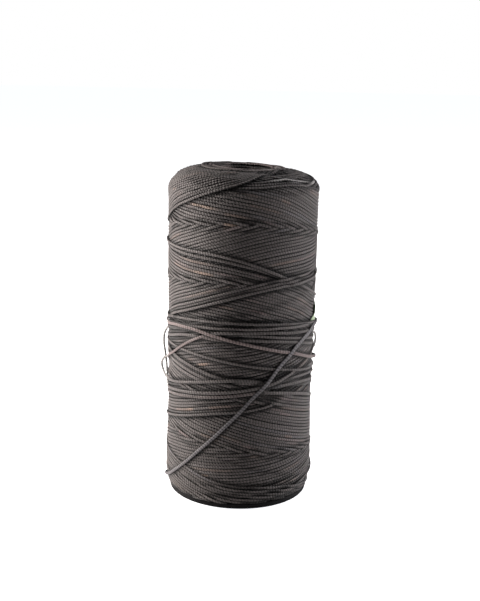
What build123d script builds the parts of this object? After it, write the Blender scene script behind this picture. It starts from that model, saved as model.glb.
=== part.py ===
from build123d import *
import os
from math import cos, radians, sin, tan

# A spool of flat braided waxed thread: a moulded base flange pressed into a core
# tube, the thread wound round the tube, a few slack outer turns and a paper slip.
# Millimetres, +Z up, the spool standing on its flange at z = 0. Angles go round the
# spool from its front, the -Y side, towards +X.

# Base flange
flange_diameter = 59.0
flange_thickness = 2.6
flange_edge_round = 0.9
foot_ring_width = 3.5
hub_diameter = 26.0
underside_recess = 0.9
spindle_hole_diameter = 12.0
spigot_length = 10.0
spigot_lead_in = 0.8

# Core tube
tube_diameter = 20.0
tube_wall = 2.0
tube_length = 133.0
tube_edge_break = 0.4

# Wound thread
thread_diameter = 1.0
winding_diameter = 62.0
winding_height = 134.9
foot_shrink = 2.2
foot_shoulder = 10.0
belly_swell = 0.1
waist_height = 47.0
waist_depth = 0.65
middle_height = 78.0
middle_depth = 0.3
top_shoulder = 13.0
mouth_depth = 2.6
crest_width = 3.2

# Paper slip, tucked under the upper slack turn at the back
slip_thickness = 0.15
slip_foot_height = 71.5
slip_height = 11.0
slip_front_angle = 73.0
slip_back_angle = 165.0

# Clearances
press_gap = 0.05
seat_gap = 0.05
rest_gap = 0.12

# Places worked out from the sizes above
tube_radius = tube_diameter / 2
tube_bore_radius = tube_radius - tube_wall
winding_radius = winding_diameter / 2
winding_foot = flange_thickness + seat_gap
winding_top = winding_foot + winding_height
winding_bore_radius = tube_radius + seat_gap

# The winding's outline as (radius, height), from the flange up to the crest
foot_outline = (
    (winding_radius - foot_shrink, winding_foot),
    (winding_radius - foot_shrink * 0.3, winding_foot + foot_shoulder * 0.3),
    (winding_radius + belly_swell, winding_foot + foot_shoulder),
)
side_outline = (
    foot_outline[-1],
    (winding_radius - waist_depth, waist_height),
    (winding_radius - middle_depth, middle_height),
    (winding_radius, winding_top - 2.4 * top_shoulder),
    (winding_radius, winding_top - top_shoulder),
)
top_outline = (
    side_outline[-1],
    (winding_radius - 0.6, winding_top - 5.0),
    (winding_radius - 2.7, winding_top - 3.1),
    (winding_radius - 6.0, winding_top - 1.9),
    (winding_radius - 13.0, winding_top - 0.7),
    (winding_bore_radius + crest_width, winding_top),
)
winding_outline = foot_outline + side_outline[1:] + top_outline[1:]


def radius_at(height):
    """The winding's radius at a height, between two points of its outline."""
    for (low_r, low_z), (high_r, high_z) in zip(winding_outline, winding_outline[1:]):
        if height <= high_z:
            share = max(0.0, (height - low_z) / (high_z - low_z))
            return low_r + share * (high_r - low_r)
    return winding_outline[-1][0]


# How far the middle of a thread lies off the winding, the slip, another turn or the
# sloping foot. The slip is one radius all over, while the winding under it widens.
lying = thread_diameter / 2 + rest_gap
slip_radius = radius_at(slip_foot_height + slip_height) + rest_gap
slip_stand = slip_radius + slip_thickness - radius_at(slip_foot_height)
over_slip = lying + slip_stand
over_turn = lying + thread_diameter + rest_gap
on_foot = lying + 2 * rest_gap

# A route's corners stand out so that its straight runs clear the winding too
corner_stand = 1 / cos(radians(7.5))


def on_winding(angle, height, lift):
    """A corner of a thread's route, its runs `lift` off the winding's surface."""
    reach = (radius_at(height) + lift) * corner_stand
    return Vector(reach * sin(radians(angle)), -reach * cos(radians(angle)), height)


def closed_turn(middle, rise, peak_angle, lift):
    """A slack turn's corners once round the winding, highest at peak_angle."""
    angles = [15 * i for i in range(24)]
    heights = [middle + rise * cos(radians(a - peak_angle)) for a in angles]
    return [on_winding(a, h, lift) for a, h in zip(angles, heights)]


def corner_radii(route, closed):
    """The bend at each corner, as large as its two straight runs allow."""
    corners = range(len(route)) if closed else range(1, len(route) - 1)
    radii = []
    for i in corners:
        run_in = route[i] - route[i - 1]
        run_out = route[(i + 1) % len(route)] - route[i]
        turn = radians(run_in.get_angle(run_out))
        radii.append(0.45 * min(run_in.length, run_out.length) / tan(turn / 2))
    return radii


def thread_path(name, route, closed=False):
    """The route's straight runs, joined by arcs that touch both."""
    radii = corner_radii(route, closed)
    print(name, "tightest bend", round(min(radii), 1))
    with BuildLine() as path:
        FilletPolyline(*route, radius=radii, close=closed)
    return path.line


# Moulded plastic disc with a hollow spigot, recessed below between rim and hub
with BuildPart() as base_flange:
    with BuildSketch(Plane.XY):
        Circle(flange_diameter / 2)
    extrude(amount=flange_thickness)
    fillet(base_flange.edges().filter_by(GeomType.CIRCLE), flange_edge_round)
    with BuildSketch(Plane.XY):
        Circle(flange_diameter / 2 - foot_ring_width)
        Circle(hub_diameter / 2, mode=Mode.SUBTRACT)
    extrude(amount=underside_recess, mode=Mode.SUBTRACT)
    with BuildSketch(Plane.XY.offset(flange_thickness)):
        Circle(tube_bore_radius - press_gap)
    extrude(amount=spigot_length)
    chamfer(base_flange.edges().group_by(Axis.Z)[-1], spigot_lead_in)
    with BuildSketch(Plane.XY):
        Circle(spindle_hole_diameter / 2)
    extrude(amount=flange_thickness + spigot_length, mode=Mode.SUBTRACT)

# Straight tube standing on the flange, over its spigot
with BuildPart() as core_tube:
    with BuildSketch(Plane.XY.offset(flange_thickness)):
        Circle(tube_radius)
        Circle(tube_bore_radius, mode=Mode.SUBTRACT)
    extrude(amount=tube_length)
    chamfer(core_tube.edges().group_by(Axis.Z)[-1], tube_edge_break)

# The wound thread as one closed body, round the tube from the flange to the mouth
with BuildPart() as thread_winding:
    inner_foot = (winding_bore_radius, winding_foot)
    mouth = (winding_bore_radius, winding_top - mouth_depth)
    with BuildSketch(Plane.XZ):
        with BuildLine():
            Spline(*foot_outline, tangents=((0.6, 1), (0, 1)))
            Spline(*side_outline, tangents=((0, 1), (0, 1)))
            Spline(*top_outline, tangents=((0, 1), (-1, 0)))
            Spline(top_outline[-1], mouth, tangents=((-1, 0), (0, -1)))
            Line(mouth, inner_foot)
            Line(inner_foot, foot_outline[0])
        make_face()
    revolve(axis=Axis.Z)

# Three slack turns that circle the middle of the winding without crossing
slack_turns = {
    "upper_turn": closed_turn(76.0, 4.2, 0.0, over_slip),
    "middle_turn": closed_turn(66.5, 9.3, -52.0, lying),
    "lower_turn": closed_turn(60.5, 5.5, -65.0, lying),
}
turn_parts = []
for turn_name, turn_route in slack_turns.items():
    with BuildPart() as slack_turn:
        turn_path = thread_path(turn_name, turn_route, closed=True)
        with BuildSketch(turn_path ^ 0):
            Circle(thread_diameter / 2)
        sweep(path=turn_path)
    slack_turn.part.label = turn_name
    turn_parts.append(slack_turn.part)

# The outermost run: from the slip down across the front to the foot at the back
crossing_route = [
    on_winding(132.0, 69.5, over_slip),
    on_winding(120.0, 71.4, over_slip),
    on_winding(106.0, 73.0, over_slip),
    on_winding(92.0, 74.2, over_slip),
    on_winding(79.0, 74.6, over_slip),
    on_winding(68.0, 73.7, 1.2),
    on_winding(58.0, 71.7, over_turn),
    on_winding(49.0, 69.1, over_turn),
    on_winding(40.0, 65.2, over_turn),
    on_winding(31.0, 60.9, over_turn),
    on_winding(21.5, 55.5, over_turn),
    on_winding(12.0, 50.2, 1.2),
    on_winding(2.0, 43.6, lying),
    on_winding(-9.0, 37.2, lying),
    on_winding(-20.0, 30.7, lying),
    on_winding(-31.0, 24.8, lying),
    on_winding(-42.0, 18.8, lying),
    on_winding(-54.0, 13.4, lying),
    on_winding(-67.0, 8.6, on_foot),
    on_winding(-80.0, 5.8, on_foot),
    on_winding(-94.0, 4.6, on_foot),
    on_winding(-108.0, 4.3, on_foot),
    on_winding(-122.0, 4.6, on_foot),
    on_winding(-136.0, 5.4, on_foot),
]
with BuildPart() as crossing_turn:
    crossing_path = thread_path("crossing_turn", crossing_route)
    with BuildSketch(crossing_path ^ 0):
        Circle(thread_diameter / 2)
    sweep(path=crossing_path)

# Short slack bights that stand off the sides, their ends down on the winding
side_routes = (
    (
        on_winding(-78.0, 71.6, lying),
        on_winding(-84.0, 70.6, 1.0),
        on_winding(-89.0, 68.4, 1.6),
        on_winding(-92.5, 65.4, over_turn),
        on_winding(-94.5, 62.2, 1.7),
        on_winding(-95.5, 59.0, 1.4),
        on_winding(-95.0, 56.0, 1.0),
        on_winding(-93.5, 53.6, lying),
    ),
    (
        on_winding(-79.0, 54.6, lying),
        on_winding(-84.0, 53.9, 1.1),
        on_winding(-88.0, 52.2, 1.8),
        on_winding(-90.5, 49.8, 1.8),
        on_winding(-91.0, 47.2, 1.2),
        on_winding(-89.5, 44.8, lying),
    ),
    (
        on_winding(79.0, 70.7, lying),
        on_winding(84.5, 69.8, 1.0),
        on_winding(89.0, 67.8, 1.4),
        on_winding(91.5, 65.4, 1.3),
        on_winding(91.5, 62.8, 1.0),
        on_winding(89.0, 60.9, lying),
    ),
)
with BuildPart() as side_bights:
    for side_route in side_routes:
        bight_path = thread_path("side_bights", side_route)
        with BuildSketch(bight_path ^ 0):
            Circle(thread_diameter / 2)
        sweep(path=bight_path)

# Thin paper curved round the winding; 90 degrees less turns a spool angle to a plan one
with BuildPart() as paper_slip:
    slip_sweep = slip_back_angle - slip_front_angle
    with BuildSketch(Plane.XY.offset(slip_foot_height)):
        with BuildLine():
            CenterArc((0, 0), slip_radius + slip_thickness / 2, slip_front_angle - 90, slip_sweep)
        trace(line_width=slip_thickness)
    extrude(amount=slip_height)

base_flange.part.label = "base_flange"
core_tube.part.label = "core_tube"
thread_winding.part.label = "thread_winding"
crossing_turn.part.label = "crossing_turn"
side_bights.part.label = "side_bights"
paper_slip.part.label = "paper_slip"

os.makedirs("parts", exist_ok=True)
for turn_part in turn_parts:
    export_step(turn_part, f"parts/{turn_part.label}.step")
export_step(base_flange.part, "parts/base_flange.step")
export_step(core_tube.part, "parts/core_tube.step")
export_step(thread_winding.part, "parts/thread_winding.step")
export_step(crossing_turn.part, "parts/crossing_turn.step")
export_step(side_bights.part, "parts/side_bights.step")
export_step(paper_slip.part, "parts/paper_slip.step")
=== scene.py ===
import math

import bpy
import numpy as np
from mathutils import Matrix, Vector


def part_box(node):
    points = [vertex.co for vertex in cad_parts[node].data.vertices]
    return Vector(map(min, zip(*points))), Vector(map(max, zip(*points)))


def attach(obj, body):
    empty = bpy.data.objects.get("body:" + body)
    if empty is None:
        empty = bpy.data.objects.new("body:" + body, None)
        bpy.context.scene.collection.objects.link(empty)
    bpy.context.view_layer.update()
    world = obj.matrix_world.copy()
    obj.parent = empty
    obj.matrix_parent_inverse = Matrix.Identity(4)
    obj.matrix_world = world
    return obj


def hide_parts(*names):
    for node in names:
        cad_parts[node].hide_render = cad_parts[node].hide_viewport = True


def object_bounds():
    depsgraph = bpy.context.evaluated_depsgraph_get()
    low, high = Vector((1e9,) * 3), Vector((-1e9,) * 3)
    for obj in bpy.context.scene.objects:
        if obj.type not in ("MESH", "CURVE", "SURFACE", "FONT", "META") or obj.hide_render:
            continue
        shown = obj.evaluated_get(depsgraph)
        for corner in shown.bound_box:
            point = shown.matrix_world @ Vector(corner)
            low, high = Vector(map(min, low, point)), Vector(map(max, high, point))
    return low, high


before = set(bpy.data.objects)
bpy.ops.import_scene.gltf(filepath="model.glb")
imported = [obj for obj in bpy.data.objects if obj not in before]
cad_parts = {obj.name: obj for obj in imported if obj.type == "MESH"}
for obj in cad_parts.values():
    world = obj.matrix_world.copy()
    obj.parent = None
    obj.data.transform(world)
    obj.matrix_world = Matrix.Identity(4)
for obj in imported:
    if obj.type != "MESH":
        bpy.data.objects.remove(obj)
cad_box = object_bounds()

# Lengths below are millimetres unless a name says otherwise; Blender's are metres.
# Angles go round the spool from its front, the -Y side, towards +X.
mm = 0.001

# ------------------------ camera
# The camera stands in front of the spool, a little above its top edge, and looks
# down at it with a slight lean.
eye = Vector((0.0, -477.6, 196.97)) * mm
look_down = 0.2359
lean = 0.022
lens_mm = 69.5
sideways_shift = -0.0023


def add_camera():
    level = Vector((1, 0, 0))
    ahead = Vector((0, math.cos(look_down), -math.sin(look_down)))
    upward = level.cross(ahead)
    right = math.cos(lean) * level + math.sin(lean) * upward
    top = math.cos(lean) * upward - math.sin(lean) * level
    lens = bpy.data.cameras.new("studio_camera")
    lens.lens = lens_mm
    lens.shift_x = sideways_shift
    lens.clip_start = 0.01
    camera = bpy.data.objects.new("studio_camera", lens)
    turn = Matrix((right, top, -ahead)).transposed().to_4x4()
    camera.matrix_world = Matrix.Translation(eye) @ turn
    bpy.context.collection.objects.link(camera)
    bpy.context.scene.camera = camera


add_camera()

# ------------------------ floor and light
# A plain white table in a white room. Two tall soft boxes stand beside and a little
# behind the spool, the left one stronger, and the room behind the camera is dim.
spool_top = cad_box[1][2]
floor_colour = (0.90, 0.90, 0.90, 1.0)
floor_glow = (0.96, 0.98, 1.0, 1.0)
glow_on_spool = 0.22
glow_in_view = 0.97
floor_size = 6.0
room_colour = (0.90, 0.93, 1.0, 1.0)
room_dim = 0.02
room_bright = 0.12
lamps = (
    # name, place in spool heights (x, y, z), width, height, watts, colour
    ("left_soft_box", (-4.98, 0.98, 1.6), 0.35, 0.6, 17.0, (1.0, 0.92, 0.87)),
    ("right_soft_box", (4.95, 1.25, 1.6), 0.35, 0.6, 6.3, (1.0, 0.96, 0.97)),
    ("top_soft_box", (0.0, 1.5, 6.5), 0.6, 0.6, 3.0, (1.0, 1.0, 1.0)),
)


def node(tree, kind, inputs=None, **settings):
    """A new shader node. Its inputs are plain values, or sockets that feed them."""
    made = tree.nodes.new("ShaderNode" + kind)
    for name, value in settings.items():
        setattr(made, name, value)
    for name, value in (inputs or {}).items():
        if isinstance(value, bpy.types.NodeSocket):
            tree.links.new(value, made.inputs[name])
        else:
            made.inputs[name].default_value = value
    return made


def span(tree, value, low, high, first=0.0, last=1.0, **settings):
    """A value stretched so that low to high becomes first to last, and held there."""
    limits = {"Value": value, "From Min": low, "From Max": high, "To Min": first, "To Max": last}
    return node(tree, "MapRange", limits, **settings).outputs[0]


def light_room():
    world = bpy.data.worlds.new("studio")
    world.use_nodes = True
    tree = world.node_tree
    tree.nodes.clear()
    sky = node(tree, "TexCoord").outputs["Generated"]
    depth = node(tree, "SeparateXYZ", {"Vector": sky}).outputs["Y"]
    behind = span(tree, depth, -0.1, 0.8, room_dim, room_bright)
    room = node(tree, "Background", {"Color": room_colour, "Strength": behind}).outputs[0]
    paper = node(tree, "Background", {"Color": (1, 1, 1, 1), "Strength": 1.0}).outputs[0]
    seen = node(tree, "LightPath").outputs["Is Camera Ray"]
    both = node(tree, "MixShader", {0: seen, 1: room, 2: paper}).outputs[0]
    node(tree, "OutputWorld", {"Surface": both})
    bpy.context.scene.world = world
    for name, place, width, height, watts, colour in lamps:
        light = bpy.data.lights.new(name, "AREA")
        light.shape = "RECTANGLE"
        light.size = width
        light.size_y = height
        light.energy = watts
        light.color = colour
        lamp = bpy.data.objects.new(name, light)
        lamp.location = Vector(place) * spool_top
        aim = Vector((0, 0, spool_top / 2)) - lamp.location
        lamp.rotation_euler = aim.to_track_quat("-Z", "Y").to_euler()
        lamp.visible_camera = False
        bpy.context.collection.objects.link(lamp)
    bpy.context.scene.view_settings.view_transform = "Standard"


def new_material(name, roughness):
    """A material with a Principled shader, its tree and the shader."""
    material = bpy.data.materials.new(name)
    material.use_nodes = True
    tree = material.node_tree
    shader = tree.nodes["Principled BSDF"]
    shader.inputs["Roughness"].default_value = roughness
    return material, tree, shader


def add_floor():
    mesh = bpy.data.meshes.new("studio_floor")
    half = floor_size / 2
    corners = [(-half, -half, 0), (half, -half, 0), (half, half, 0), (-half, half, 0)]
    mesh.from_pydata(corners, [], [(0, 1, 2, 3)])
    floor = bpy.data.objects.new("studio_floor", mesh)
    bpy.context.collection.objects.link(floor)
    paint, tree, shader = new_material("white_table", 0.6)
    shader.inputs["Base Color"].default_value = floor_colour
    shader.inputs["Emission Color"].default_value = floor_glow
    seen = node(tree, "LightPath").outputs["Is Camera Ray"]
    tree.links.new(span(tree, seen, 0, 1, glow_on_spool, glow_in_view), shader.inputs["Emission Strength"])
    mesh.materials.append(paint)


light_room()
add_floor()

# ------------------------ base flange
# The foot of the spool is one black plastic moulding, pressed into the tube. Its
# face has a fine matt grain, rubbed a little brighter in places, and hardly any dust.
flange_black = (0.010, 0.010, 0.011, 1.0)
rubbed_black = (0.016, 0.016, 0.016, 1.0)
dust_grey = (0.30, 0.29, 0.27, 1.0)


def new_group(name, numbers=(), colours=(), out_numbers=(), out_colours=()):
    """An empty shader node group with named inputs and outputs."""
    tree = bpy.data.node_groups.new(name, "ShaderNodeTree")
    sockets = (
        ("INPUT", "Float", numbers), ("INPUT", "Color", colours),
        ("OUTPUT", "Float", out_numbers), ("OUTPUT", "Color", out_colours),
    )
    for side, kind, labels in sockets:
        for label in labels:
            tree.interface.new_socket(label, in_out=side, socket_type="NodeSocket" + kind)
    start = tree.nodes.new("NodeGroupInput")
    end = tree.nodes.new("NodeGroupOutput")
    return tree, start.outputs, end.inputs


def use_group(tree, group, **values):
    """A group placed in a material; underscores in a name stand for spaces."""
    inputs = {name.replace("_", " "): value for name, value in values.items()}
    return node(tree, "Group", inputs, node_tree=group)


def calc(tree, operation, *values):
    """One sum on shader values, its result socket."""
    return node(tree, "Math", dict(enumerate(values)), operation=operation).outputs[0]


def mix(tree, share, first, second):
    """Two colours mixed, the result socket; 6 and 7 are the Mix node's colour inputs."""
    return node(tree, "Mix", {0: share, 6: first, 7: second}, data_type="RGBA").outputs[2]


def noise(tree, place, scale, detail, roughness=0.5):
    """Cloudy noise, its result socket."""
    inputs = {"Vector": place, "Scale": scale, "Detail": detail, "Roughness": roughness}
    return node(tree, "TexNoise", inputs).outputs["Fac"]


def emboss(tree, shader, height, strength, depth):
    """A fine relief on the surface, its depth in metres."""
    bump = node(tree, "Bump", {"Height": height, "Strength": strength, "Distance": depth})
    tree.links.new(bump.outputs["Normal"], shader.inputs["Normal"])


def make_dust_group():
    """Settled dust: patchy, thicker on faces that look up."""
    tree, given, result = new_group(
        "settled_dust", ("Amount", "Scale"), ("Colour", "Dust Colour"), ("Dust",), ("Colour",)
    )
    place = node(tree, "TexCoord").outputs["Object"]
    cloud = noise(tree, place, given["Scale"], 6.0, 0.7)
    speck = noise(tree, place, calc(tree, "MULTIPLY", given["Scale"], 14.0), 2.0)
    patch = span(tree, calc(tree, "MULTIPLY", cloud, speck), 0.22, 0.42)
    normal = node(tree, "NewGeometry").outputs["Normal"]
    facing = node(tree, "SeparateXYZ", {"Vector": normal}).outputs["Z"]
    upward = span(tree, facing, -0.3, 1.0, 0.25, 1.0)
    dust = calc(tree, "MULTIPLY", calc(tree, "MULTIPLY", patch, upward), given["Amount"])
    tree.links.new(mix(tree, dust, given["Colour"], given["Dust Colour"]), result["Colour"])
    tree.links.new(dust, result["Dust"])
    return tree


settled_dust = make_dust_group()


def moulded_plastic():
    material, tree, shader = new_material("moulded_black_plastic", 0.45)
    place = node(tree, "TexCoord").outputs["Object"]
    worn = span(tree, noise(tree, place, 90.0, 6.0, 0.65), 0.45, 0.7)
    shaded = mix(tree, worn, flange_black, rubbed_black)
    dusty = use_group(tree, settled_dust, Colour=shaded, Dust_Colour=dust_grey, Amount=0.02, Scale=120.0)
    tree.links.new(dusty.outputs["Colour"], shader.inputs["Base Color"])
    matt = span(tree, worn, 0, 1, 0.55, 0.7)
    tree.links.new(calc(tree, "ADD", matt, dusty.outputs["Dust"]), shader.inputs["Roughness"])
    emboss(tree, shader, noise(tree, place, 2600.0, 3.0), 0.25, 0.0001)
    shader.inputs["Specular IOR Level"].default_value = 0.04
    return material


def finish_node(name, material):
    """A CAD piece keeps its shape and gets its real finish."""
    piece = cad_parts[name]
    piece.data.materials.clear()
    piece.data.materials.append(material)


finish_node("base_flange", moulded_plastic())

# ------------------------ core tube
# The thread is wound on a tube of grey board, rolled from a glued paper strip at a
# slant, so its wall shows a spiral seam and long paper fibres.
board_grey = (0.060, 0.054, 0.048, 1.0)
board_pale = (0.105, 0.095, 0.084, 1.0)
seam_dark = (0.020, 0.018, 0.016, 1.0)
strip_rise = 0.034


def make_fibre_group():
    """Paper fibres: a cloudy shade and a fine height."""
    tree, given, result = new_group("paper_fibres", ("Scale",), (), ("Shade", "Height"))
    place = node(tree, "TexCoord").outputs["Object"]
    stretch = node(tree, "Mapping", {"Vector": place, "Scale": (1.0, 1.0, 3.0)})
    strand = noise(tree, stretch.outputs[0], given["Scale"], 8.0)
    cloud = noise(tree, place, calc(tree, "MULTIPLY", given["Scale"], 0.12), 3.0)
    both = calc(tree, "ADD", calc(tree, "MULTIPLY", strand, 0.6), cloud)
    tree.links.new(span(tree, both, 0.5, 1.1), result["Shade"])
    tree.links.new(strand, result["Height"])
    return tree


paper_fibres = make_fibre_group()


def rolled_board():
    material, tree, shader = new_material("rolled_grey_board", 0.85)
    place = node(tree, "TexCoord").outputs["Object"]
    axes = node(tree, "SeparateXYZ", {"Vector": place}).outputs
    around = calc(tree, "DIVIDE", calc(tree, "ARCTAN2", axes["Y"], axes["X"]), 2 * math.pi)
    climb = calc(tree, "ADD", calc(tree, "DIVIDE", axes["Z"], strip_rise), around)
    edge = calc(tree, "ABSOLUTE", calc(tree, "SUBTRACT", calc(tree, "FRACT", climb), 0.5))
    seam = span(tree, edge, 0.0, 0.02)
    fibres = use_group(tree, paper_fibres, Scale=900.0)
    board = mix(tree, fibres.outputs["Shade"], board_grey, board_pale)
    board = mix(tree, seam, seam_dark, board)
    dusty = use_group(tree, settled_dust, Colour=board, Dust_Colour=dust_grey, Amount=0.3, Scale=90.0)
    tree.links.new(dusty.outputs["Colour"], shader.inputs["Base Color"])
    height = calc(tree, "ADD", calc(tree, "MULTIPLY", fibres.outputs["Height"], 0.4), seam)
    emboss(tree, shader, height, 0.5, 0.0002)
    return material


finish_node("core_tube", rolled_board())

# ------------------------ waxed thread
# The thread is a flat braid of dark polyester, pulled through wax. It is wound under
# tension, so each turn beds into the turns below and bridges the hollows it meets.
braid_width = 1.2
braid_thickness = 0.62
plait_length = 1.25
# How far each thread raises the ones laid over it, and the lowest hang over the rim
nest = 0.36
foot_hang = 0.7
# A braid's colour is painted darker, as shade, beside turns that rise this steeply,
# and at this depth below them
painted_shade_slope = 0.30
sunk_shade = 0.45
# The heap of threads is kept as heights, by degrees round and millimetres up the skin
column = 2.5
row = 0.15
wax_bloom = (0.22, 0.20, 0.185, 1.0)
charcoal = np.array((0.068, 0.061, 0.060))
dyes = {
    "charcoal": charcoal,
    "brown": np.array((0.135, 0.098, 0.082)),
    "rose": np.array((0.150, 0.115, 0.112)),
    "straw": np.array((0.27, 0.19, 0.145)),
    "blue": np.array((0.085, 0.085, 0.095)),
    "grey": np.array((0.32, 0.315, 0.31)),
    # Painted highlight rather than a dye: the near-white laid on the crown's lit stretches
    "painted_highlight": np.array((0.44, 0.43, 0.42)),
}
chance = np.random.default_rng(11)


def winding_skin():
    """The wound package's outline as radius and height, from its foot over its crest
    and down into its mouth, read at even steps."""
    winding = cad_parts["thread_winding"]
    spots = np.array([winding.matrix_world @ v.co for v in winding.data.vertices]) / mm
    radius = np.hypot(spots[:, 0], spots[:, 1])
    height = spots[:, 2]
    crest = radius[height.argmax()]
    outside = radius > crest
    step = 0.25
    levels = np.arange(height.min() + 0.4, height.max() - 0.3, step)
    order = np.argsort(height[outside])
    side = np.interp(levels, height[outside][order], radius[outside][order])
    mouth = ~outside & (height > height.max() - 2.5)
    steps = np.arange(crest, radius.min() + 0.1, -step)
    order = np.argsort(radius[mouth])
    top = np.interp(steps, radius[mouth][order], height[mouth][order])
    # The lowest threads hang a little over the rim of the flange.
    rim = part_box("base_flange")[1][0] / mm
    hang = np.arange(height.min() - foot_hang, height.min() + 0.3, step)
    line_r = np.concatenate((np.full(len(hang), rim), side, steps))
    line_z = np.concatenate((hang, levels, top))
    over_rim = rim + 0.3 + 0.12 * (line_z - height.min())
    line_r = np.maximum(line_r, np.where(line_z < 6, over_rim, 0))
    return line_r, line_z


# A place on the skin is told by `along`: the height up to the shoulder, and from
# there on the length along the outline. The outline leans outwards by `skin_out`.
skin_r, skin_z = winding_skin()
shoulder = skin_z.max() - 13.0
run_r = np.diff(skin_r)
run_z = np.diff(skin_z)
stride = np.where(skin_z[1:] < shoulder, run_z, np.hypot(run_r, run_z))
skin_along = skin_z[0] + np.concatenate(([0.0], np.cumsum(stride)))
slope = np.hypot(np.gradient(skin_r), np.gradient(skin_z))
skin_out_r = np.gradient(skin_z) / slope
skin_out_z = -np.gradient(skin_r) / slope


def on_skin(angle, along, lift):
    """Points `along` up the skin and `lift` off it, and the direction off it there."""
    turn = np.radians(angle)
    out_r = np.interp(along, skin_along, skin_out_r)
    out_z = np.interp(along, skin_along, skin_out_z)
    reach = np.interp(along, skin_along, skin_r) + out_r * lift
    height = np.interp(along, skin_along, skin_z) + out_z * lift
    place = np.stack((reach * np.sin(turn), -reach * np.cos(turn), height), axis=-1)
    out = np.stack((out_r * np.sin(turn), -out_r * np.cos(turn), out_z), axis=-1)
    return place, out


def follow(route, angle, ease=8.0):
    """The height along a given route at each angle, its corners eased."""
    corners = np.array(route, dtype=float)
    reach = np.linspace(-ease, ease, 7)
    return np.mean([np.interp(angle + r, corners[:, 0], corners[:, 1]) for r in reach], axis=0)


def drift(angle, size, slow=70.0):
    """A slow wander, different for each thread."""
    total = np.zeros_like(angle)
    for share, pace in ((0.6, 1.0), (0.3, 2.3), (0.2, 4.9)):
        total += share * np.sin(angle / slow * pace + chance.uniform(0, 2 * math.pi))
    return total * size


columns = int(360 / column)
row_along = np.arange(0, 170, row)
column_angle = np.arange(0, 360, column)
# The crown is hollow at its front right, where a bundle of turns has slipped inwards.
slipped_depth = 1.7
slipped_round = np.exp(-((column_angle - 38) / 32) ** 4)
slipped_up = np.exp(-((row_along - 144) / 2.6) ** 4)
heap = -slipped_depth * slipped_round[:, None] * slipped_up
owner = np.full(heap.shape, -1)
# The rows that a thread covers, either side of its middle
spread = np.arange(-4, 5)
laid = []


def cells_at(angle, along, margin=0):
    """The column and row of the heap at each place, kept `margin` rows inside it."""
    around = np.round(angle / column).astype(int) % columns
    across = np.clip(np.round(along / row).astype(int), margin, heap.shape[1] - 1 - margin)
    return around, across


def settle(under, closed):
    """The line of a tight thread over what lies below it."""
    high = np.pad(under, 3, mode="wrap" if closed else "edge")
    high = np.max([high[i:i + len(under) + 4] for i in range(3)], axis=0)
    return np.convolve(high, np.array((1, 4, 6, 4, 1)) / 16, mode="valid")


def dyed(angle, dye, strength):
    """A thread's colour along its length: its own shade, and a dye that comes and goes."""
    shade = 1 + chance.normal(0, 0.10) + drift(angle, 0.10, 25.0)
    colour = charcoal[None, :] * shade[:, None]
    if dye is None:
        dye = chance.choice(("brown", "rose", "blue"), p=(0.45, 0.3, 0.25))
        patches = drift(angle, 1.0, 30.0) - chance.uniform(0.2, 1.2)
        strength = np.clip(patches * 2.0, 0, 0.35)
    strength = np.broadcast_to(strength, angle.shape)[:, None]
    return colour * (1 - strength) + dyes[dye] * shade[:, None] * strength


# Stretches where a paler dye lot shows, and near-white painted highlights where light
# catches the crown: (angle, height at its middle, half length, dye)
pale_stretches = (
    (-34, 125.9, 13, "straw"), (-8, 123.2, 12, "brown"), (14, 120.6, 8, "rose"),
    (33, 128.8, 14, "brown"), (-8, 119.2, 7, "straw"), (-66, 131.5, 12, "brown"),
    (-50, 100.2, 14, "brown"), (-38, 103.4, 14, "brown"), (-30, 99.8, 8, "straw"),
    (35, 104.2, 14, "brown"), (-12, 86.6, 9, "brown"), (10, 84.6, 12, "rose"),
    (-30, 61.4, 5, "straw"), (-50, 39.6, 16, "brown"), (-16, 44.4, 20, "brown"),
    (-40, 40.6, 6, "straw"), (-20, 31.0, 12, "brown"), (8, 27.8, 9, "rose"),
    (-48, 29.5, 10, "rose"), (-30, 13.2, 10, "straw"), (-12, 11.1, 10, "rose"),
    (6, 10.1, 12, "straw"), (26, 9.2, 12, "rose"), (46, 7.9, 10, "rose"),
    (38, 40.0, 10, "rose"), (45, 30.0, 12, "brown"), (-60, 16.0, 10, "brown"),
    # Painted highlights along the crown's arc and top right, near white
    (35, 138.2, 10, "painted_highlight"), (50, 137.5, 8, "painted_highlight"), (62, 136.2, 7, "painted_highlight"),
    (72, 134.8, 6, "painted_highlight"), (70, 150.0, 14, "painted_highlight"), (45, 151.5, 12, "painted_highlight"),
    (-60, 150.4, 14, "rose"), (-20, 151.0, 14, "rose"),
)
pale_strength = 0.55


def pale(angle, along, colour):
    """Brings out the pale dye stretches and the painted highlights that this thread runs through."""
    for middle, height, reach, dye in pale_stretches:
        off = (angle - middle + 180) % 360 - 180
        near = np.exp(-(off / reach) ** 4) * (np.abs(along - height) < 0.8)
        if near.max() > 0.5 and np.abs(along[np.abs(off).argmin()] - height) < 0.68:
            share = (near * pale_strength)[:, None]
            colour = colour * (1 - share) + dyes[dye] * share
    return colour


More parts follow.
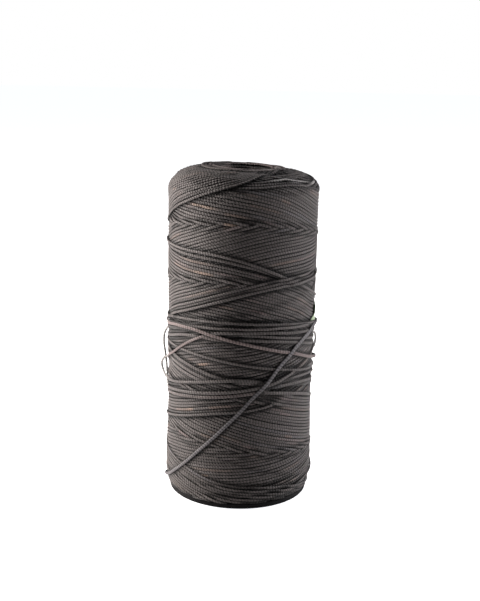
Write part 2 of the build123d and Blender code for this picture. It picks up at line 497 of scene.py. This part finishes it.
def lay(piece, angle, along, dye=None, strength=0.0, closed=False, stand=None, sink=0.0,
        proud=0.0, width=1.0):
    """Lays one thread on the heap, over every thread that is there already. `stand`
    holds it off the skin where it is slack, `proud` lifts it off the heap all along,
    and `sink` tucks in both its ends."""
    around, across = cells_at(angle, along, 5)
    below = heap[around[:, None], across[:, None] + spread[1:-1]]
    under = np.sort(below, axis=1)[:, -3]
    lift = settle(under, closed) + nest + proud
    if stand is not None:
        lift = np.maximum(lift, stand - level(angle, along))
    if sink and not closed:
        ends = np.minimum(np.arange(len(lift)), np.arange(len(lift))[::-1])
        lift = lift - sink * np.clip(1 - ends / 4, 0, 1)
    cells = (around[:, None], across[:, None] + spread)
    heap[cells] = np.maximum(heap[cells], lift[:, None])
    owner[cells] = len(laid)
    colour = pale(angle, along, dyed(angle, dye, strength))
    laid.append({"piece": piece, "angle": angle, "along": along, "lift": lift, "cells": cells,
                 "colour": colour, "closed": closed, "width": np.broadcast_to(width, angle.shape)})


def level(angle, along):
    """How far the first threads lie off the skin, so that the last ones lie on it."""
    return bed[cells_at(angle, along)]


def in_sight(number, thread):
    """The stretches of a laid thread that later turns leave in sight."""
    shows = (owner[thread["cells"]] == number).any(axis=1)
    if thread["closed"] and shows.mean() > 0.5:
        return [np.arange(len(shows))]
    near = np.convolve(shows, np.ones(5), mode="same") > 0
    edges = np.flatnonzero(np.diff(np.concatenate(([0], near.astype(int), [0]))))
    return [np.arange(a, b) for a, b in zip(edges[::2], edges[1::2]) if b - a > 3]


def painted_hollow_shade(angle, along, lift):
    """Painted shade at each corner of a braid's section, as a share of its colour: dark
    beside higher turns, and darker the further the heap around it rises over it."""
    shown = []
    for side in outline[:, 0]:
        around, across = cells_at(angle, along + side)
        steepest = np.zeros(len(lift))
        for reach in range(-9, 10):
            beside = np.clip(across + reach, 0, heap.shape[1] - 1)
            rise = heap[around, beside] - lift
            steepest = np.maximum(steepest, rise / (abs(reach) * row + 0.2))
        shown.append(0.05 + 0.95 / (1 + (steepest / painted_shade_slope) ** 3))
    sunk = np.clip(pile[cells_at(angle, along)] - lift - 0.15, 0, None)
    return np.stack(shown, axis=1) * np.exp(-sunk / sunk_shade)[:, None]


# The braid's cross-section: (share of the half width, share of the thickness)
braid_section = np.array((
    (-1.0, -0.15), (-0.84, 0.22), (-0.40, 0.5), (0.40, 0.5),
    (0.84, 0.22), (1.0, -0.15), (0.55, -0.5), (-0.55, -0.5),
))
corners = len(braid_section)
outline = braid_section * (braid_width / 2, braid_thickness)
girth = np.concatenate(([0.0], np.cumsum(np.hypot(*(np.roll(outline, -1, axis=0) - outline).T))))


def ribbon(place, out, width, closed):
    """Rings of points round a braid whose top runs through `place`."""
    if closed:
        ahead = np.roll(place, -1, axis=0) - np.roll(place, 1, axis=0)
    else:
        ahead = np.gradient(place, axis=0)
    ahead /= np.linalg.norm(ahead, axis=1, keepdims=True)
    side = np.cross(out, ahead)
    side /= np.linalg.norm(side, axis=1, keepdims=True)
    out = np.cross(ahead, side)
    middle = place - out * braid_thickness / 2
    width = np.broadcast_to(width, len(place))[:, None, None]
    sideways = width * side[:, None] * outline[None, :, :1]
    return middle[:, None] + sideways + out[:, None] * outline[None, :, 1:]


def new_piece(name, points, faces, material, stands_for):
    """A mesh of points in millimetres as a smooth piece on the spool, its mesh."""
    mesh = bpy.data.meshes.new(name)
    mesh.from_pydata((points * mm).tolist(), [], faces)
    mesh.polygons.foreach_set("use_smooth", np.ones(len(faces), dtype=bool))
    mesh.materials.append(material)
    piece = bpy.data.objects.new(name, mesh)
    bpy.context.collection.objects.link(piece)
    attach(piece, "root")
    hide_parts(stands_for)
    return mesh


def corner_spots(face, along, across):
    """Where each corner of each face lies, along the braid and across it."""
    return np.stack([np.stack((along[ring], across[corner]), axis=1) for ring, corner in face], axis=1)


class Skein:
    """The braids of one piece, gathered into one mesh."""

    def __init__(self):
        self.points, self.quads, self.caps, self.colours = [], [], [], []
        # Each face's corners along and across its braid, and unrolled for baking
        self.lay, self.bake = [], []
        self.used = 0
        self.length = 0.0

    def add(self, place, out, colour, shown=1.0, width=1.0, closed=False):
        rings = ribbon(place, out, width, closed)
        count = len(rings)
        steps = np.linalg.norm(np.diff(place, axis=0, append=place[:1]), axis=1)
        if not closed:
            steps = steps[:-1]
        travel = np.concatenate(([0.0], np.cumsum(steps)))
        plait = travel * chance.uniform(0.9, 1.1) + chance.uniform(0, 5)
        # Each face runs from ring i to the next, and from corner j to the next.
        i = np.repeat(np.arange(len(steps)), corners)
        j = np.tile(np.arange(corners), len(steps))
        face = ((i + 1, j), (i + 1, j + 1), (i, j + 1), (i, j))
        quad = [ring % count * corners + corner % corners for ring, corner in face]
        self.quads.append(np.stack(quad, axis=1) + self.used)
        self.lay.append(corner_spots(face, plait, np.append(outline[:, 0], outline[0, 0])))
        self.bake.append(corner_spots(face, self.length + travel, girth))
        if not closed:
            self.caps.append(self.used + np.arange(corners))
            self.caps.append(self.used + (count - 1) * corners + np.arange(corners)[::-1])
        self.points.append(rings.reshape(-1, 3))
        # The alpha beside each colour holds the braid's painted shade.
        shown = np.broadcast_to(shown, (count, corners))
        self.colours.append(np.column_stack((np.repeat(colour, corners, axis=0), shown.reshape(-1))))
        self.used += count * corners
        self.length += travel[-1]

    def unrolled(self):
        """A flat layout for baking: the braids end to end, cut into rows."""
        bake = np.concatenate(self.bake)
        line = girth[-1] + 0.25
        longest_face = 3.0
        width = math.sqrt(self.length * line) + longest_face
        start = bake[:, :, 0].min(axis=1)
        rows = np.floor(start / (width - longest_face))
        flat = np.stack((
            bake[:, :, 0] - (rows * (width - longest_face))[:, None],
            bake[:, :, 1] + (rows * line)[:, None] + 0.1,
        ), axis=-1)
        return flat / max(width, (rows.max() + 1) * line)

    def make(self, name, stands_for):
        faces = np.concatenate(self.quads).tolist() + [cap.tolist() for cap in self.caps]
        points = np.concatenate(self.points)
        mesh = new_piece(name, points, faces, braid_finish, stands_for)
        spare = np.zeros((len(self.caps) * corners, 2))
        for label, flat in (("lay", np.concatenate(self.lay)), ("OFBake", self.unrolled())):
            layer = mesh.uv_layers.new(name=label)
            loops = np.concatenate((flat.reshape(-1, 2), spare))
            layer.data.foreach_set("uv", loops.ravel())
        # The colour attribute holds each braid's dye with its painted highlights, and in its alpha the
        # painted shade.
        tint = mesh.color_attributes.new("dye", "FLOAT_COLOR", "POINT")
        tint.data.foreach_set("color", np.concatenate(self.colours).ravel())
        mesh.update()


def make_plait_group():
    """A flat plait: two rows of slanting strands that meet in a centre groove."""
    tree, given, result = new_group("flat_plait", ("Along", "Across", "Length", "Width"), (), ("Height",))
    half = calc(tree, "DIVIDE", calc(tree, "ABSOLUTE", given["Across"]), given["Width"])
    right = calc(tree, "MULTIPLY", calc(tree, "GREATER_THAN", given["Across"], 0.0), 0.12)
    phase = calc(tree, "DIVIDE", given["Along"], given["Length"])
    slant = calc(tree, "MULTIPLY", half, 0.4)
    phase = calc(tree, "ADD", phase, calc(tree, "ADD", slant, right))
    saw = calc(tree, "ABSOLUTE", calc(tree, "SUBTRACT", calc(tree, "FRACT", phase), 0.5))
    strand = calc(tree, "MULTIPLY", span(tree, saw, 0.5, 0.18, interpolation_type="SMOOTHSTEP"), 0.75)
    groove = calc(tree, "MULTIPLY", span(tree, half, 0.0, 0.12), 0.25)
    tree.links.new(calc(tree, "ADD", strand, groove), result["Height"])
    return tree


flat_plait = make_plait_group()


def waxed_braid():
    material, tree, shader = new_material("waxed_braid", 0.5)
    lie = node(tree, "UVMap", uv_map="lay").outputs["UV"]
    axes = node(tree, "SeparateXYZ", {"Vector": lie}).outputs
    plait = use_group(
        tree, flat_plait, Along=axes["X"], Across=axes["Y"], Length=plait_length, Width=braid_width
    )
    height = plait.outputs["Height"]
    dye_and_painted_light = node(tree, "Attribute", attribute_name="dye")
    dye = dye_and_painted_light.outputs["Color"]
    # Painted shade and highlight: the colour darkens towards each braid's edges, in the grooves between
    # braids, darkens in the plait's hollows and lightens past the dye on its crests.
    off_middle = calc(tree, "ABSOLUTE", calc(tree, "DIVIDE", axes["Y"], braid_width / 2))
    edge = span(tree, off_middle, 0.6, 0.95, 1.0, 0.15)
    shade = calc(tree, "MULTIPLY", span(tree, height, 0, 1, 0.45, 1.5), edge)
    colour = node(tree, "VectorMath", {0: dye, 3: shade}, operation="SCALE").outputs[0]
    place = node(tree, "TexCoord").outputs["Object"]
    bloom = span(tree, noise(tree, place, 210.0, 5.0, 0.7), 0.5, 0.8, 0.0, 0.16)
    colour = mix(tree, bloom, colour, wax_bloom)
    dusty = use_group(tree, settled_dust, Colour=colour, Dust_Colour=dust_grey, Amount=0.06, Scale=70.0)
    # The dye's alpha holds painted shade: how dark each braid is painted beside and under
    # its neighbours.
    shown = {0: dusty.outputs["Colour"], 3: dye_and_painted_light.outputs["Alpha"]}
    shaded = node(tree, "VectorMath", shown, operation="SCALE").outputs[0]
    tree.links.new(shaded, shader.inputs["Base Color"])
    gloss = span(tree, height, 0, 1, 0.62, 0.42)
    tree.links.new(calc(tree, "ADD", gloss, bloom), shader.inputs["Roughness"])
    filament = calc(tree, "MULTIPLY", noise(tree, place, 5200.0, 2.0), 0.25)
    emboss(tree, shader, calc(tree, "ADD", height, filament), 1.0, 0.0003)
    shader.inputs["Specular IOR Level"].default_value = 0.22
    return material


braid_finish = waxed_braid()

# ------------------------ rising and falling bands
# The newest outer layers are two wide bands of threads side by side. One climbs to
# the right round the spool and one falls; each is known by its newest thread's route
# as (angle, height), the angle counting on from turn to turn.
pitch = 1.34
rising_count = 30
falling_count = 25
early_count = 6
rising_route = (
    (-500, -49), (-60, 1.5), (0, 4.5), (30, 6), (60, 8), (90, 11), (180, 22), (285, 34),
    (300, 35.8), (315, 37.8), (330, 40), (345, 41.8), (360, 42.8), (375, 44), (390, 46),
    (420, 50), (450, 54), (540, 66), (640, 75.5), (660, 80.5), (675, 83), (690, 86),
    (705, 88.8), (720, 91.5), (735, 93.5), (750, 94.7), (765, 95), (790, 95.5), (810, 96.5),
    (900, 105.5), (985, 115.5), (998, 118), (1008, 121), (1020, 124.5), (1035, 127.7),
    (1050, 131.1), (1065, 133.9), (1080, 136.6), (1088, 138.8), (1095, 141.4), (1103, 143.6),
    (1112, 145.2), (1130, 147), (1160, 150), (1300, 168), (1600, 190),
)
falling_route = (
    (-400, 181), (-120, 149), (-60, 142), (-30, 139.4), (0, 137.2), (15, 137.5), (30, 138.3),
    (45, 137.9), (60, 136.4), (70, 135.1), (80, 133.5), (90, 132.0), (285, 107), (315, 106),
    (330, 105.8), (345, 105.2), (360, 103.8), (375, 101.5), (390, 98.3), (398, 96.5), (412, 93),
    (430, 88), (645, 63.3), (660, 62), (675, 60), (690, 58.5), (705, 57), (720, 54.5),
    (738, 51.5), (750, 49.5), (765, 47), (780, 44.5), (790, 43), (1000, 19.5), (1020, 17.6),
    (1040, 14.9), (1050, 13.3), (1060, 11.9), (1070, 10.8), (1080, 10.3), (1095, 9.7),
    (1110, 9.1), (1125, 7.9), (1140, 6.3), (1160, 4.3), (1190, 1.5), (1700, -60),
)
# Below its newest threads the falling band leaves the top edge more steeply, on a
# route that joins the newest thread's behind the spool.
steep_route = (
    (-400, 181), (-120, 145), (-60, 139.5), (-45, 138.8), (-18, 137.6), (0, 136.4), (15, 134.6),
    (30, 132), (45, 128.5), (60, 124.5), (75, 121.5), (90, 119.5), (120, 117.5), (200, 112.5),
    (285, 107),
)
steep_end = 285
# The falling threads in three stretches, cut behind the spool: from angle, to angle,
# and by (number, age) how much older than the newest each thread counts there. A
# thread dives under the rising threads that are younger than itself.
falling_stretches = (
    (-400, 205, ((0, 0.0), (3, 7.5), (6.6, 10.7), (10.1, 12.0), (12.5, 13.7), (16.5, 16.9), (30, 30.0))),
    (195, 565, ((0, 0.0), (30, 30.0))),
    (555, 1700, ((0, 0.0), (12, 12.0), (14, 16.5), (15.7, 18.5), (20.6, 20.7), (30, 30.0))),
)
# The rising threads in four stretches, from one dive under the falling band to the
# next: how much younger than the newest falling thread they count.
rising_stretches = (-13.45, -4.0, -3.15, 16.0)
rising_dive = 2.6
top_edge = 149.5
foot = skin_z[0] + braid_width / 2
newest = 100.0
last_rings = newest + 20.0
lead_stand = 0.35
shortest_run = 4


def falling_line(angle, number):
    """Where a falling thread runs. The ones below the newest part from it at the left."""
    lead = follow(falling_route, angle)
    if number == 0:
        return lead
    parted = 1.1 * np.exp(-((angle - 345) / 48) ** 4)
    steep = follow(steep_route, np.minimum(angle, steep_end))
    return np.where(angle < steep_end, steep, lead) - parted - pitch * number


def rising_line(angle, number):
    return follow(rising_route, angle) + pitch * number


# Threads to lay: (age, piece, angle, along, proud); the oldest are laid first.
jobs = []


def wind_bands():
    angle = np.arange(-400, 1500, column)
    for number in range(-early_count, falling_count):
        along = falling_line(angle, number) + drift(angle, 0.14)
        for low, high, ages in falling_stretches:
            keep = (angle >= low) & (angle <= high) & (along < top_edge) & (along > foot)
            # The threads above the newest one go no further than behind the spool.
            if number < 0:
                keep &= angle < falling_stretches[0][1]
            if keep.sum() > shortest_run:
                older = np.interp(number, *zip(*ages)) if number > 0 else -number
                jobs.append((newest - older, "falling_threads", angle[keep], along[keep], 0.0))
    # Two more turns lie beside the newest one where it leaves the top edge, over a
    # steeper one.
    beside = np.arange(-60, 280, column)
    jobs.append((newest - 0.5, "falling_threads", beside, follow(steep_route, beside), 0.0))
    for number in (1, 2):
        along = follow(falling_route, beside) - pitch * number
        jobs.append((newest - 0.2, "falling_threads", beside, along, 0.0))
    for number in range(rising_count):
        along = rising_line(angle, number) + drift(angle, 0.16)
        # It dives under the newest falling thread each time they meet. What lies
        # beyond each dive was wound at another time.
        cuts = [angle[0]]
        for shift in (720, 0, -720):
            above = along > follow(falling_route, angle + shift) - rising_dive
            above &= (angle > cuts[-1]) & (angle + shift > -60)
            cuts.append(angle[np.argmax(above)])
        cuts.append(angle[-1])
        piece = "lower_rising_threads" if number < rising_count / 2 else "upper_rising_threads"
        proud = lead_stand if number == 0 else 0.0
        for low, high, younger in zip(cuts, cuts[1:], rising_stretches):
            keep = (angle >= low - 5) & (angle <= high + 5) & (along > foot) & (along < top_edge)
            if keep.sum() > shortest_run:
                age = newest + younger - 0.5 * number
                jobs.append((age, piece, angle[keep], along[keep], proud))


wind_bands()

# ------------------------ rings and waist turns
# Under the bands lie older turns: rings round the crown and the foot, and a level
# belt round the waist. The last rings of all close the top face over the bands' ends.
full_turn = np.arange(-180, 180, column)
between = 0.01
ring_sets = (
    # age, piece, how many, lowest height, spacing, tilt, wander if it has one
    (0.0, "crown_threads", 17, 134.5, 1.32, 0.5, 0.0),
    (last_rings, "crown_threads", 6, 147.6, 1.25, 0.35, None),
    (1.0, "foot_threads", 5, 3.5, 1.3, 0.25, None),
)
for age, piece, count, lowest, spacing, tilt, wander in ring_sets:
    for number in range(count):
        wandering = 0.0 if wander is None else drift(full_turn, wander)
        leaning = tilt * np.sin(np.radians(full_turn) + chance.uniform(0, 6.28))
        along = lowest + spacing * number + wandering + leaning
        jobs.append((age + number * between, piece, full_turn, along, 0.0))
for number in range(20):
    angle = np.arange(-200, 160, column)
    along = 60 + pitch * (number - 8) + 0.11 * angle + drift(angle, 0.2)
    jobs.append((2 + number * between, "waist_threads", angle, along, 0.0))

jobs.sort(key=lambda job: job[0])
for age, piece, angle, along, proud in jobs:
    closed = len(angle) == columns and piece in ("crown_threads", "foot_threads")
    dye, strength = ("rose", chance.uniform(0.1, 0.6)) if age >= last_rings else (None, 0.0)
    lay(piece, angle, along, dye, strength, closed=closed, sink=0.0 if closed else 0.6, proud=proud)


# The bulk below fills up until the outermost threads lie on the winding's skin.
def smooth_pile(pile, height_reach, turn_reach):
    """A heap of threads evened out over millimetres of height and degrees round."""
    rows_reach = int(height_reach / row)
    turns = range(-int(turn_reach / column), int(turn_reach / column) + 1)
    pile = np.mean([np.roll(pile, turn, axis=0) for turn in turns], axis=0)
    kernel = np.hanning(2 * rows_reach + 1)
    padded = np.pad(pile, ((0, 0), (rows_reach, rows_reach)), mode="edge")
    return np.array([np.convolve(line, kernel / kernel.sum(), mode="valid") for line in padded])


bed = 0.12 - smooth_pile(heap, 7.0, 20.0)
# The crown bulges a little, most at the front and the left.
column_turn = np.radians(column_angle)
crown_rise = 1.7 + 0.3 * np.cos(column_turn) - 0.55 * np.sin(column_turn)
bed += crown_rise[:, None] * np.exp(-((row_along - 146.2) / 9.4) ** 4)

# ------------------------ waist strands
# Handling has slackened the newest threads round the waist. They stand a little off
# the winding, cross one another and leave hollows between them, dark with real shade
# and with shade painted on the braids below.
waist_strands = (
    # how far it stands off, and its route as (angle, height)
    (0.50, (
        (-150, 70), (-88, 67.3), (-70, 69.3), (-55, 71.6), (-45, 72.6), (-30, 73.2), (-10, 72.6),
        (5, 73.3), (30, 71.9), (50, 70), (75, 66.5), (130, 62),
    )),
    (0.55, (
        (-160, 73), (-88, 71.2), (-60, 74), (-45, 75), (-25, 75.4), (0, 75.3), (15, 74.8),
        (45, 72.2), (75, 69), (140, 64),
    )),
    (0.65, (
        (-30, 74.5), (-10, 76), (10, 76.2), (25, 75.8), (45, 74.4), (60, 73.8), (80, 72), (130, 68),
    )),
    (0.70, (
        (-170, 72), (-88, 73.9), (-60, 76.1), (-30, 77.2), (0, 77.7), (30, 77.5), (60, 76.2),
        (74, 75.3), (110, 72.5), (160, 70),
    )),
    (0.55, (
        (-120, 66), (-88, 63.4), (-75, 63.2), (-60, 61.8), (-45, 60.4), (-30, 58.6), (-18, 57.0),
        (0, 55.4), (20, 54.4), (45, 53.8), (80, 51),
    )),
    (0.50, (
        (-130, 63), (-80, 60.3), (-60, 59.4), (-48, 58.2), (-36, 56.8), (-20, 54.8), (0, 53),
    )),
    (0.45, ((-75, 58.6), (-60, 57.4), (-45, 56), (-30, 54.4), (-12, 52.6))),
    (0.60, (
        (-110, 46), (-60, 50.6), (-38, 53.2), (-20, 55.2), (-5, 56.3), (8, 56.2), (18, 55.2),
        (30, 53.6), (45, 52.2), (70, 50), (110, 46),
    )),
    (0.65, ((8, 54.0), (22, 55.0), (40, 56.5), (55, 57.6), (68, 57.9), (88, 56.5), (130, 52))),
    (0.65, ((6, 53.0), (20, 53.9), (35, 54.9), (50, 55.3), (65, 54.9), (85, 53.2), (120, 49))),
    (0.60, ((10, 52.4), (25, 52.9), (40, 53.1), (55, 52.7), (75, 51.2), (110, 47))),
    (0.50, ((-2, 51.9), (15, 51.2), (30, 50.1), (45, 48.6), (60, 46.6), (75, 44), (100, 40))),
    (0.50, (
        (-120, 38.5), (-88, 42.6), (-60, 45.2), (-30, 47.6), (-10, 49.2), (8, 50.6), (25, 52.2),
    )),
    (0.70, (
        (-130, 39.5), (-88, 44.5), (-60, 47.1), (-30, 49.4), (0, 51.7), (15, 53.1), (30, 55.2),
        (45, 57.7), (60, 60.2), (75, 62.3), (120, 67.5),
    )),
)
rose_strand = 12
tuck = 0.8
for number, (stand, route) in enumerate(waist_strands):
    dye, strength = ("rose", 0.25) if number == rose_strand else (None, 0.0)
    angle = np.arange(route[0][0], route[-1][0] + column, column, dtype=float)
    along = follow(route, angle, 5.0) + drift(angle, 0.05)
    broad = chance.uniform(1.05, 1.35)
    lay("waist_strands", angle, along, dye, strength, stand=stand, sink=tuck, width=broad)

# ------------------------ strand across the front
# One thread of the falling band lies proud where it comes down across the front, and
# the three newest rising threads hold it down.
front_strand = (
    (-170, 110), (-88, 108.5), (-60, 108), (-30, 107.7), (-15, 107.0), (0, 105.3), (15, 102.4), (30, 98.9),
    (40, 96.4), (50, 94.0), (60, 91.6), (75, 88), (100, 84),
)
angle = np.arange(-170, 100, column)
stand = np.interp(angle, (-95, -55), (0.0, 0.5))
along = follow(front_strand, angle, 5.0)
lay("falling_threads", angle, along, "charcoal", 0.0, stand=stand, sink=tuck)
for number in (2, 1, 0):
    angle = np.arange(-80, 84 - 6 * number, column)
    along = rising_line(angle + 720, number)
    lay("lower_rising_threads", angle, along, "charcoal", 0.0, stand=lead_stand, sink=tuck)

# ------------------------ lower turn
# Three slack turns run right round the waist, tilted, and cross each other. The lower
# one lies under the paper slip, and a paler thread climbs over it at the left.
turn_wander = 0.0


def slack_turn(name, middle, rise, peak):
    along = middle + rise * np.cos(np.radians(full_turn - peak)) + drift(full_turn, turn_wander)
    lay(name, full_turn, along, "charcoal", 0.0, closed=True, stand=0.4)


slack_turn("lower_turn_thread", 60.5, 5.5, -65)
climbing_route = (
    (-150, 42), (-120, 47), (-88, 57), (-75, 60.3), (-65, 62.4), (-55, 66), (-45, 69.3),
    (-35, 72.2), (-28, 73.8), (-22, 74.6),
)
angle = np.arange(-150, -20, column)
along = follow(climbing_route, angle, 5.0)
lay("waist_strands", angle, along, "rose", 0.55, stand=0.45, sink=tuck, width=1.1)

# ------------------------ paper slip
# A slip of thin pale green paper marks the spool. It is tucked under the slack turns
# on the right, and its front edge curls off the threads above them.
slip_end = 165.0
slip_thickness = 0.2
slip_clear = 0.2
slip_rows = 23
slip_columns = 76
curl_reach = 9.0
curl_height = 77.5
curl_out = 1.6
tuck_in = 0.9
slip_dark = (0.30, 0.40, 0.25, 1.0)
slip_light = (0.42, 0.52, 0.36, 1.0)


def thin_paper():
    material, tree, shader = new_material("thin_green_paper", 0.8)
    fibres = use_group(tree, paper_fibres, Scale=700.0)
    colour = mix(tree, fibres.outputs["Shade"], slip_dark, slip_light)
    dusty = use_group(tree, settled_dust, Colour=colour, Dust_Colour=dust_grey, Amount=0.25, Scale=110.0)
    tree.links.new(dusty.outputs["Colour"], shader.inputs["Base Color"])
    emboss(tree, shader, fibres.outputs["Height"], 0.4, 0.0001)
    return material


def even(line, reach):
    """A line of heights, each the mean of its neighbours up to `reach` away."""
    wide = 2 * reach + 1
    return np.convolve(np.pad(line, reach, mode="edge"), np.ones(wide) / wide, mode="valid")


def slip_faces():
    """The faces of a front and a back sheet of points, and of the edges between."""
    wide, tall = slip_columns, slip_rows
    back = wide * tall
    faces = []
    for k in range(tall - 1):
        for a in range(k * wide, (k + 1) * wide - 1):
            faces.append((a, a + 1, a + 1 + wide, a + wide))
            faces.append((back + a, back + a + wide, back + a + 1 + wide, back + a + 1))
    for i in range(wide - 1):
        top = (tall - 1) * wide + i
        faces.append((i, back + i, back + i + 1, i + 1))
        faces.append((top, top + 1, back + top + 1, back + top))
    for k in range(tall - 1):
        a = k * wide
        b = a + wide - 1
        faces.append((a, a + wide, back + a + wide, back + a))
        faces.append((b, back + b, back + b + wide, b + wide))
    return faces


def add_slip():
    low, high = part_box("paper_slip")
    heights = np.linspace(low[2] / mm, high[2] / mm, slip_rows)
    near = np.arange(-9, 10)
    below = heap.copy()
    sheet = []
    rows = []
    for height in heights:
        # The front edge is tucked in below; above, it stands back and curls off.
        upper = min(max(height - curl_height, 0.0), 1.0)
        start = np.interp(height, (73.5, 74.8, 77.5, 78.5), (92.0, 70.5, 70.5, 76.5))
        turns = np.linspace(start, slip_end, slip_columns)
        rows.append(turns)
        around = np.round(turns[:, None] / column).astype(int) + np.arange(-2, 3)
        across = np.round(height / row).astype(int) + near
        rest = even(below[(around % columns)[:, :, None], across[None, None, :]].max(axis=(1, 2)), 3)
        edge = np.clip(1 - (turns - start) / curl_reach, 0, 1)
        curl = (curl_out * upper - tuck_in) * edge ** 2
        ripple = 0.15 * np.sin(height * 0.9 + turns * 0.13)
        sheet.append(rest + slip_clear + curl + ripple * (1 - edge))
        cells = ((np.round(turns / column).astype(int) % columns)[:, None], across[None, 7:-7])
        heap[cells] = np.maximum(heap[cells], sheet[-1][:, None])
    lift = np.array([even(line, 2) for line in np.array(sheet).T]).T
    points = []
    for depth in (0.0, -slip_thickness):
        for height, turns, line in zip(heights, rows, lift):
            along = np.full(len(turns), height)
            points.append(on_skin(turns, along, level(turns, along) + line + depth)[0])
    points = np.concatenate(points)
    new_piece("curled_slip", points, slip_faces(), thin_paper(), "paper_slip")


add_slip()

# ------------------------ upper and middle turns
# The other two slack turns lie over the slip. The middle one is a paler, wider lot of
# thread and stands well off the winding at the right.
slack_turn("upper_turn_thread", 75.5, 4.6, -10)
middle_route = (
    (-180, 60.8), (-160, 63.8), (-135, 67.6), (-110, 70.8), (-88, 72.5), (-75, 74), (-60, 75.5),
    (-45, 76), (-35, 75.8), (-15, 73.7), (0, 72), (15, 70), (30, 67.8), (45, 65.8), (60, 63),
    (75, 60.5), (88, 59), (110, 57.6), (128, 57.2), (150, 58), (180, 60.8),
)
along = follow(middle_route, full_turn, 4.0)
stand = 0.7 + 1.3 * np.exp(-((full_turn - 89) / 6) ** 2)
lay("middle_turn_thread", full_turn, along, "rose", 0.65, closed=True, stand=stand, width=1.3)

# ------------------------ crossing turn
# The newest slack thread falls across the front from the waist to the foot. It is
# pressed wide where it crosses the other turns, and stands off at its lowest point.
crossing_route = (
    (-136, 4.8), (-122, 3.8), (-108, 3.3), (-92, 3.6), (-80, 5.6), (-67, 8.6), (-54, 13.4),
    (-42, 18.8), (-31, 24.8), (-20, 30.7), (-9, 37.2), (2, 43.6), (12, 50.2), (21.5, 55.5),
    (31, 60.9), (40, 65.2), (49, 69.0), (58, 71.5), (68, 74.0), (76, 75.3), (84, 75.3),
    (92, 74.4), (104, 72.4), (118, 70.8), (132, 69.5),
)
angle = np.arange(-136, 132, column)
along = follow(crossing_route, angle, 4.0)
stand = np.interp(angle, (-104, -92, -80), (0.4, 2.2, 0.6))
broad = np.interp(angle, (-60, 0, 25, 40, 60, 85), (1.25, 1.3, 1.6, 1.8, 1.9, 1.7))
lay("crossing_thread", angle, along, "blue", 0.55, stand=stand, sink=tuck, width=broad)

# ------------------------ side bights
# Small slack loops stand off the sides of the waist, two on the left, one on the
# right. Their ends dip in among the other threads.
bight_routes = (
    # strength of the grey dye, then (angle, height, how far it stands off)
    (0.9, (
        (-78, 72.8, 0.5), (-85, 70.4, 1.2), (-90, 66.4, 2.1), (-92.5, 62, 2.3), (-92.5, 58, 1.6),
        (-91, 54, 1.1), (-89, 50, 0.7), (-86, 46.6, 0.4), (-80, 44.6, 0.3), (-68, 43.6, 0.2),
    )),
    (0.5, (
        (-78, 59.5, 0.6), (-86, 57.6, 1.4), (-92, 55.6, 2.6), (-95.5, 53.2, 3.6),
        (-96, 50.9, 3.3), (-93, 49.0, 2.1), (-88, 47.9, 1.0), (-82, 48.2, 0.4),
    )),
    (0.8, (
        (79, 70.7, 0.5), (84.5, 69.8, 0.8), (89, 67.8, 1.3), (91.5, 65.4, 1.4), (91.5, 62.8, 1.0),
        (89, 60.9, 0.5),
    )),
)
bight_steps = 40
bight_lift = 0.3
bight_dip = 0.9
bight_width = 0.85


def add_bights():
    skein = Skein()
    ends = np.minimum(np.arange(bight_steps), np.arange(bight_steps)[::-1])
    dip = np.clip(1 - ends / 8, 0, 1)
    for strength, route in bight_routes:
        knots = np.array(route)
        share = np.linspace(0, len(knots) - 1, bight_steps)
        angle, along, stand = [
            np.mean([np.interp(share + r, np.arange(len(knots)), knot) for r in (-0.4, 0, 0.4)], axis=0)
            for knot in knots.T
        ]
        place, out = on_skin(angle, along, stand + bight_lift - bight_dip * dip)
        # Where it stands off, the flat of the braid turns to the front.
        out = out + (1 - dip[:, None]) * (0, -2, 0)
        skein.add(place, out, dyed(angle, "grey", strength), width=bight_width)
    return skein


# ------------------------ thread pieces
# Every stretch of thread that is left in sight becomes a braid, gathered into the
# piece that it was laid for.
# The heap evened out; braids sunk below it get more painted shade.
pile = smooth_pile(heap, 3.0, 7.5)
skeins = {}
for number, thread in enumerate(laid):
    skein = skeins.setdefault(thread["piece"], Skein())
    for part in in_sight(number, thread):
        whole = thread["closed"] and len(part) == columns
        angle, along, lift = (thread[name][part] for name in ("angle", "along", "lift"))
        place, out = on_skin(angle, along, level(angle, along) + lift)
        # Painted shade from the turns around each braid, carried in its colour's alpha
        shown = painted_hollow_shade(angle, along, lift)
        skein.add(place, out, thread["colour"][part], shown, thread["width"][part], whole)
skeins["bight_threads"] = add_bights()
stands_for = {
    "upper_turn_thread": "upper_turn",
    "middle_turn_thread": "middle_turn",
    "lower_turn_thread": "lower_turn",
    "crossing_thread": "crossing_turn",
    "bight_threads": "side_bights",
}
for name, skein in skeins.items():
    skein.make(name, stands_for.get(name, "thread_winding"))

# ------------------------ wound body
# The bulk of the winding, deep between the outer threads: one closed body just
# under them, from the flange over the crown and down along the tube, painted near
# black as the shade in the gaps between them.
painted_shade_black = (0.012, 0.011, 0.011, 1.0)
body_gap = 0.15
bore_gap = 0.05


def wound_body():
    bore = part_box("core_tube")[1][0] / mm + bore_gap
    lowest = skin_z[0] + foot_hang
    along = np.maximum(skin_along, foot + 0.2)
    rings = []
    for angle in column_angle:
        around = np.full(len(along), angle)
        place = on_skin(around, skin_along, level(around, along) - body_gap)[0]
        place[:, 2] = np.maximum(place[:, 2], lowest)
        turn = math.radians(angle)
        spoke = np.array((math.sin(turn), -math.cos(turn), 0.0)) * bore
        rings.append(np.vstack((spoke + (0, 0, lowest), place, spoke + (0, 0, skin_z[-1] - 0.5))))
    size = len(rings[0])
    faces = []
    for a in range(columns):
        b = (a + 1) % columns
        for low in range(size):
            high = (low + 1) % size
            faces.append((a * size + low, b * size + low, b * size + high, a * size + high))
    material, _, shader = new_material("painted_shade_black", 0.7)
    shader.inputs["Base Color"].default_value = painted_shade_black
    new_piece("wound_body", np.concatenate(rings), faces, material, "thread_winding")


wound_body()
